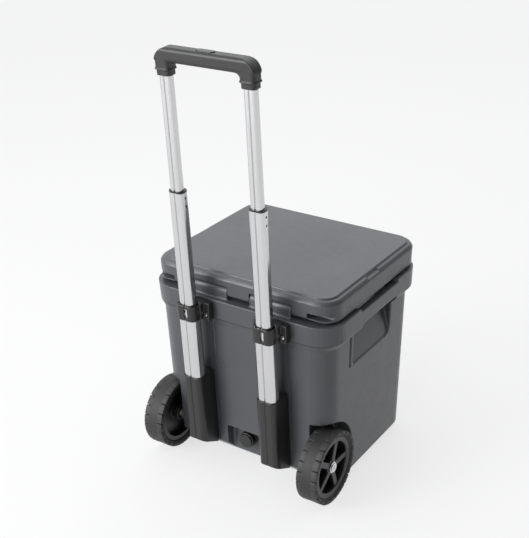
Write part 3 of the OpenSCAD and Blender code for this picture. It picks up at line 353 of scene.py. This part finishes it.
rough = sums(drawn, "ADD", start.outputs["Roughness"], spread(drawn, hairs, 0.3, 0.7, -0.05, 0.07))
rough = sums(drawn, "ADD", rough, spread(drawn, smears, 0.4, 0.7, 0.0, 0.06))
drawn.links.new(rough, end.inputs["Roughness"])
drawn.links.new(hairs, end.inputs["Height"])
print("group", drawn.name, "has", len(drawn.nodes), "nodes")

# %% Metal materials
def metal(name, colour, roughness, stretch, bump):
    material = bpy.data.materials.new(name)
    material.use_nodes = True
    tree = material.node_tree
    shader = tree.nodes["Principled BSDF"]
    shader.inputs["Metallic"].default_value = 1.0
    skin = add(tree, "ShaderNodeGroup", node_tree=drawn)
    skin.inputs["Colour"].default_value = (*colour, 1)
    skin.inputs["Stretch"].default_value = stretch
    skin.inputs["Roughness"].default_value = roughness
    tree.links.new(skin.outputs["Colour"], shader.inputs["Base Color"])
    tree.links.new(skin.outputs["Roughness"], shader.inputs["Roughness"])
    lines = add(tree, "ShaderNodeBump")
    lines.inputs["Distance"].default_value = bump
    lines.inputs["Strength"].default_value = 0.4
    tree.links.new(skin.outputs["Height"], lines.inputs["Height"])
    tree.links.new(lines.outputs["Normal"], shader.inputs["Normal"])
    return material


tube_alloy = metal("tube_alloy", (0.66, 0.66, 0.67), 0.16, 0.01, 0.00003)
turned_steel = metal("turned_steel", (0.56, 0.56, 0.57), 0.32, 1.0, 0.00004)
bright_plate = metal("bright_plate", (0.78, 0.78, 0.80), 0.16, 1.0, 0.00002)
print("metals:", tube_alloy.name, turned_steel.name, bright_plate.name)

# %% [markdown]
# ## Finishes for the pieces that stay as they are
# The tubes, axles, pins and hidden parts already have the right shape. They keep their solids
# and only get a better material, chosen by the finish that the record names for each.

# %% Give every solid its material
by_slot = {"shell_plastic": charcoal, "foam": foam_cream, "black_plastic": satin_black,
           "gloss_black": smooth_black, "rubber": soft_black, "tyre": tyre_black,
           "tube_metal": tube_alloy, "steel": turned_steel, "chrome": bright_plate,
           "spring_steel": turned_steel, "bearing_plastic": bearing_tan, "gasket": seal_grey}
slot_of = {s["node"]: s["material_slot"] for s in frame["record"]["subparts"]}


def dress(obj, material):
    obj.data.materials.clear()
    obj.data.materials.append(material)


for name, obj in nodes.items():
    dress(obj, by_slot[slot_of[name]])
print("dressed", len(nodes), "solids")

# %% [markdown]
# ## Soft edges on moulded pieces
# A rotationally moulded tub has no sharp corner anywhere. One way is a bevel on each edge, but
# a tub with this many cuts gives a bevel nothing clean to run along. Instead a copy of the
# solid is rebuilt from small cells and smoothed, which rounds every edge alike, as the mould
# does. The same helper marks how convex each point is, so that the edges can look worn.

# %% Helpers for soft copies
def link(obj):
    bpy.context.scene.collection.objects.link(obj)
    return obj


def settle(obj):
    """Turns an object's modifiers into plain mesh."""
    graph = bpy.context.evaluated_depsgraph_get()
    mesh = bpy.data.meshes.new_from_object(obj.evaluated_get(graph))
    obj.modifiers.clear()
    old = obj.data
    obj.data = mesh
    bpy.data.meshes.remove(old)
    return obj


def merged_copy(name, sources):
    bm = bmesh.new()
    for source in sources:
        bm.from_mesh(nodes[source].data)
    bmesh.ops.remove_doubles(bm, verts=bm.verts, dist=2e-6)
    mesh = bpy.data.meshes.new(name)
    bm.to_mesh(mesh)
    bm.free()
    for extra in ("custom_normal", "sharp_edge", "sharp_face"):
        if extra in mesh.attributes:
            mesh.attributes.remove(mesh.attributes[extra])
    return link(bpy.data.objects.new(name, mesh))


def mark_worn_edges(obj, gain=1.0):
    mesh = obj.data
    count = len(mesh.vertices)
    co = np.empty(count * 3, np.float32)
    mesh.vertices.foreach_get("co", co)
    co = co.reshape(-1, 3)
    normal = np.empty(count * 3, np.float32)
    mesh.vertices.foreach_get("normal", normal)
    normal = normal.reshape(-1, 3)
    ends = np.empty(len(mesh.edges) * 2, np.int32)
    mesh.edges.foreach_get("vertices", ends)
    ends = ends.reshape(-1, 2)
    total = np.zeros_like(co)
    links = np.zeros(count, np.float32)
    np.add.at(total, ends[:, 0], co[ends[:, 1]])
    np.add.at(total, ends[:, 1], co[ends[:, 0]])
    np.add.at(links, ends.ravel(), 1.0)
    pull = total / np.maximum(links, 1)[:, None] - co
    length = np.linalg.norm(co[ends[:, 0]] - co[ends[:, 1]], axis=1).mean()
    bulge = np.clip(-(pull * normal).sum(1) / length * 4.0 * gain, 0, 1)
    for _ in range(2):
        around = np.zeros(count, np.float32)
        np.add.at(around, ends[:, 0], bulge[ends[:, 1]])
        np.add.at(around, ends[:, 1], bulge[ends[:, 0]])
        bulge = 0.5 * bulge + 0.5 * around / np.maximum(links, 1)
    layer = mesh.attributes.new("worn_edge", "FLOAT", "POINT")
    layer.data.foreach_set("value", bulge.astype(np.float32))


def soften(obj, cell, passes=2, keep=1.0):
    cells = obj.modifiers.new("cells", "REMESH")
    cells.mode = "VOXEL"
    cells.voxel_size = cell
    cells.use_smooth_shade = True
    ease = obj.modifiers.new("ease", "SMOOTH")
    ease.iterations = passes
    ease.factor = 0.5
    if keep < 1.0:
        fewer = obj.modifiers.new("fewer", "DECIMATE")
        fewer.ratio = keep
    settle(obj)
    obj.data.polygons.foreach_set("use_smooth", [True] * len(obj.data.polygons))
    mark_worn_edges(obj)
    return obj


def soft_copy(name, sources, body, material, cell, passes=2, keep=1.0):
    obj = soften(merged_copy(name, sources), cell, passes, keep)
    dress(obj, material)
    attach(obj, body)
    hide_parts(*sources)
    print(name, "has", len(obj.data.polygons), "faces")
    return obj

# %% [markdown]
# ## Tub and lid
# The tub and the lid are hollow mouldings with foam inside. The rebuilt copy keeps the rim, the
# hand holds, the wheel wells, the drain recess and the channels that the uprights stand in.

# %% Tub and lid
tub_cell, tub_keep = ((0.0019, 0.22))
lid_cell, lid_keep = ((0.0018, 0.35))
soft_copy("tub_moulding", ["body_shell", "inner_liner"], "tub", tub_charcoal,
          tub_cell, 1, tub_keep)
soft_copy("lid_moulding", ["lid_shell"], "lid", charcoal, lid_cell, 2, lid_keep)

# %% Black mouldings around the uprights
for hand in ("left", "right"):
    soft_copy("guide_moulding_" + hand, ["guide_" + hand], "tub", satin_black, 0.0011, 2)
    soft_copy("collar_moulding_" + hand, ["collar_" + hand], "tub", satin_black, 0.0009, 1)

# %% Grip, latches, feet and drain
soft_copy("grip_moulding", ["grip_shell", "grip_inner_cover"], "grip_stage", satin_black,
          0.0010, 4)
soft_copy("grip_button", ["push_button"], "button", smooth_black, 0.0008, 2)
for hand in ("left", "right"):
    soft_copy("latch_strap_" + hand, ["latch_" + hand], "latch_" + hand, soft_black, 0.0010, 3)
soft_copy("foot_pads", ["front_feet"], "tub", soft_black, 0.0012, 2)
soft_copy("plug_moulding", ["drain_plug"], "drain_plug", satin_black, 0.0006, 1)
soft_copy("drain_moulding", ["drain_fitting"], "tub", satin_black, 0.0009, 1)

# %% [markdown]
# ## Wheels
# Each wheel is a tyre on a black hub with five spokes. The tyre is turned around the axle from
# its outline. Its shoulder blocks repeat evenly, so Geometry Nodes set them round the tyre.

# %% Turned shapes
def turned(name, outline, centre, steps=96):
    """A closed outline of (radius, x) pairs turned around the axle's line, which runs along X."""
    bm = bmesh.new()
    rows = []
    for step in range(steps):
        angle = 2 * math.pi * step / steps
        rows.append([bm.verts.new((x, r * math.sin(angle), r * math.cos(angle))) for r, x in outline])
    for step in range(steps):
        here, there = rows[step], rows[(step + 1) % steps]
        for k in range(len(outline)):
            nxt = (k + 1) % len(outline)
            bm.faces.new((here[k], here[nxt], there[nxt], there[k]))
    bmesh.ops.recalc_face_normals(bm, faces=bm.faces)
    mesh = bpy.data.meshes.new(name)
    bm.to_mesh(mesh)
    bm.free()
    mesh.transform(Matrix.Translation(centre))
    mesh.polygons.foreach_set("use_smooth", [True] * len(mesh.polygons))
    return link(bpy.data.objects.new(name, mesh))


def rounded_outline(points, radius, steps=4):
    """Rounds each corner of a closed outline."""
    result = []
    count = len(points)
    for i, point in enumerate(points):
        before = Vector(points[i - 1]) - Vector(point)
        after = Vector(points[(i + 1) % count]) - Vector(point)
        reach = min(radius, before.length * 0.45, after.length * 0.45)
        first = Vector(point) + before.normalized() * reach
        last = Vector(point) + after.normalized() * reach
        for k in range(steps + 1):
            t = k / steps
            result.append(tuple((1 - t) ** 2 * first + 2 * t * (1 - t) * Vector(point) + t * t * last))
    return result

# %% Geometry Nodes: pieces in a ring
def ring_tree():
    tree = bpy.data.node_groups.new("ring_of_pieces", "GeometryNodeTree")
    face = tree.interface
    face.new_socket(name="Geometry", in_out="INPUT", socket_type="NodeSocketGeometry")
    for label, kind, value in (("Count", "NodeSocketInt", 20), ("Radius", "NodeSocketFloat", 0.08),
                               ("First Angle", "NodeSocketFloat", 0.0)):
        face.new_socket(name=label, in_out="INPUT", socket_type=kind).default_value = value
    face.new_socket(name="Finish", in_out="INPUT", socket_type="NodeSocketMaterial")
    face.new_socket(name="Geometry", in_out="OUTPUT", socket_type="NodeSocketGeometry")
    start = tree.nodes.new("NodeGroupInput")
    end = tree.nodes.new("NodeGroupOutput")
    points = tree.nodes.new("GeometryNodePoints")
    index = tree.nodes.new("GeometryNodeInputIndex")
    share = add(tree, "ShaderNodeMath", operation="DIVIDE")
    angle = add(tree, "ShaderNodeMath", operation="MULTIPLY_ADD")
    angle.inputs[1].default_value = 2 * math.pi
    sine = add(tree, "ShaderNodeMath", operation="SINE")
    cosine = add(tree, "ShaderNodeMath", operation="COSINE")
    place = tree.nodes.new("ShaderNodeCombineXYZ")
    out = add(tree, "ShaderNodeVectorMath", operation="SCALE")
    turn = tree.nodes.new("ShaderNodeCombineXYZ")
    back = add(tree, "ShaderNodeMath", operation="MULTIPLY")
    back.inputs[1].default_value = -1.0
    copies = tree.nodes.new("GeometryNodeInstanceOnPoints")
    real = tree.nodes.new("GeometryNodeRealizeInstances")
    finish = tree.nodes.new("GeometryNodeSetMaterial")
    new = tree.links.new
    new(start.outputs["Count"], points.inputs["Count"])
    new(index.outputs[0], share.inputs[0])
    new(start.outputs["Count"], share.inputs[1])
    new(share.outputs[0], angle.inputs[0])
    new(start.outputs["First Angle"], angle.inputs[2])
    new(angle.outputs[0], sine.inputs[0])
    new(angle.outputs[0], cosine.inputs[0])
    new(sine.outputs[0], place.inputs["Y"])
    new(cosine.outputs[0], place.inputs["Z"])
    new(place.outputs[0], out.inputs[0])
    new(start.outputs["Radius"], out.inputs["Scale"])
    new(out.outputs[0], points.inputs["Position"])
    new(angle.outputs[0], back.inputs[0])
    new(back.outputs[0], turn.inputs["X"])
    new(points.outputs[0], copies.inputs["Points"])
    new(start.outputs["Geometry"], copies.inputs["Instance"])
    new(turn.outputs[0], copies.inputs["Rotation"])
    new(copies.outputs[0], real.inputs[0])
    new(real.outputs[0], finish.inputs["Geometry"])
    new(start.outputs["Finish"], finish.inputs["Material"])
    new(finish.outputs[0], end.inputs[0])
    return tree


ring_of_pieces = ring_tree()


def in_a_ring(obj, centre, material, **values):
    """Sets copies of a small piece round the X axis, then moves the ring to its centre."""
    sockets = {i.name: i.identifier for i in ring_of_pieces.interface.items_tree if i.in_out == "INPUT"}
    ring = obj.modifiers.new("ring", "NODES")
    ring.node_group = ring_of_pieces
    for label, value in values.items():
        ring[sockets[label.replace("_", " ")]] = value
    ring[sockets["Finish"]] = material
    settle(obj)
    obj.data.transform(Matrix.Translation(centre))
    return obj


def slab(name, low, high, bevel, segments=2):
    """A small block with rounded edges, before it is set in a ring."""
    bm = bmesh.new()
    bmesh.ops.create_cube(bm, size=1.0)
    size = Vector(high) - Vector(low)
    for v in bm.verts:
        v.co = Vector(low) + Vector(((v.co.x + 0.5) * size.x, (v.co.y + 0.5) * size.y,
                                     (v.co.z + 0.5) * size.z))
    bmesh.ops.bevel(bm, geom=bm.edges[:] + bm.verts[:], offset=bevel, segments=segments, affect="EDGES",
                    profile=0.5)
    mesh = bpy.data.meshes.new(name)
    bm.to_mesh(mesh)
    bm.free()
    mesh.polygons.foreach_set("use_smooth", [True] * len(mesh.polygons))
    return link(bpy.data.objects.new(name, mesh))


def join(name, objs):
    bm = bmesh.new()
    for obj in objs:
        bm.from_mesh(obj.data)
    mesh = bpy.data.meshes.new(name)
    bm.to_mesh(mesh)
    bm.free()
    for obj in objs:
        old = obj.data
        bpy.data.objects.remove(obj)
        bpy.data.meshes.remove(old)
    mesh.polygons.foreach_set("use_smooth", [True] * len(mesh.polygons))
    return link(bpy.data.objects.new(name, mesh))

# %% Tyres with shoulder blocks
wheel_r = wheel_high.z / 2
half = (wheel_high.x - wheel_low.x) / 2
tread_r = wheel_r - 0.0001
seat_r, wall_r, shoulder_r, foot_r = 0.0726, 0.0765, 0.0815, 0.0838  # from the hub outwards
band_foot, band_top = 0.0165, 0.0145  # half widths of the raised band in the middle
one_side = [(seat_r, half - 0.004), (wall_r, half - 0.0015), (shoulder_r, half - 0.0022),
            (foot_r, half - 0.006), (foot_r, band_foot), (tread_r, band_top)]
tyre_outline = [(r, -x) for r, x in one_side] + one_side[::-1]
blocks_round = 22
block_half, block_depth, block_inner = 0.0111, 0.0085, 0.0105
for hand, side_x in (("left", -1), ("right", 1)):
    centre = (side_x * wheel.x, wheel.y, wheel.z)
    carcass = turned("carcass", rounded_outline(tyre_outline, 0.0018, 3), centre, 144)
    blocks = []
    for edge_x in (-1, 1):
        reach = (edge_x * (half - 0.0002), edge_x * block_inner)
        block = slab("block", (min(reach), -block_half, -block_depth), (max(reach), block_half, 0.0), 0.0011)
        blocks.append(in_a_ring(block, centre, tyre_black, Count=blocks_round, Radius=tread_r,
                                First_Angle=0.0 if edge_x < 0 else math.pi / blocks_round))
    tyre = join("tyre_tread_" + hand, [carcass] + blocks)
    mark_worn_edges(tyre, 0.5)
    dress(tyre, tyre_black)
    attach(tyre, "wheel_" + hand)
    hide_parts("tyre_" + hand)
    print(tyre.name, "has", len(tyre.data.polygons), "faces")

# %% Hubs
for hand in ("left", "right"):
    soft_copy("wheel_disc_" + hand, ["hub_" + hand], "wheel_" + hand, satin_black,
              0.0011, 1)

# %% [markdown]
# ## Floor
# The floor is only there to catch a soft shadow. It is almost white, with a faint mottling, and
# it gives some light of its own, so that it runs into the backdrop without a line.

# %% Pale floor
floor_skin = bpy.data.materials.new("pale_floor")
floor_skin.use_nodes = True
floor_tree = floor_skin.node_tree
floor_shader = floor_tree.nodes["Principled BSDF"]
floor_place = add(floor_tree, "ShaderNodeTexCoord").outputs["Object"]
mottle = noise(floor_tree, floor_place, 1.5, 2.0)
floor_tree.links.new(blend_colour(floor_tree, mottle, (0.2, 0.2, 0.2, 1), (0.207, 0.207, 0.207, 1)),
                     floor_shader.inputs["Base Color"])
floor_shader.inputs["Roughness"].default_value = 1.0
floor_shader.inputs["Emission Color"].default_value = (1, 1, 1, 1)
# the floor is white to the eye and in reflections, and gives little light to its surroundings
GLOW_SEEN, GLOW_GIVEN = 0.70, 0.14
floor_dim = add(floor_tree, "ShaderNodeLightPath").outputs["Is Diffuse Ray"]
floor_tree.links.new(spread(floor_tree, floor_dim, 0.0, 1.0, GLOW_SEEN, GLOW_GIVEN),
                     floor_shader.inputs["Emission Strength"])
floor_shader.inputs["Specular IOR Level"].default_value = 0.0
floor_mesh = bpy.data.meshes.new("floor")
floor_mesh.from_pydata([(-40, -40, 0), (40, -40, 0), (40, 40, 0), (-40, 40, 0)], [], [(0, 1, 2, 3)])
floor = link(bpy.data.objects.new("floor", floor_mesh))
dress(floor, floor_skin)
print("floor made")
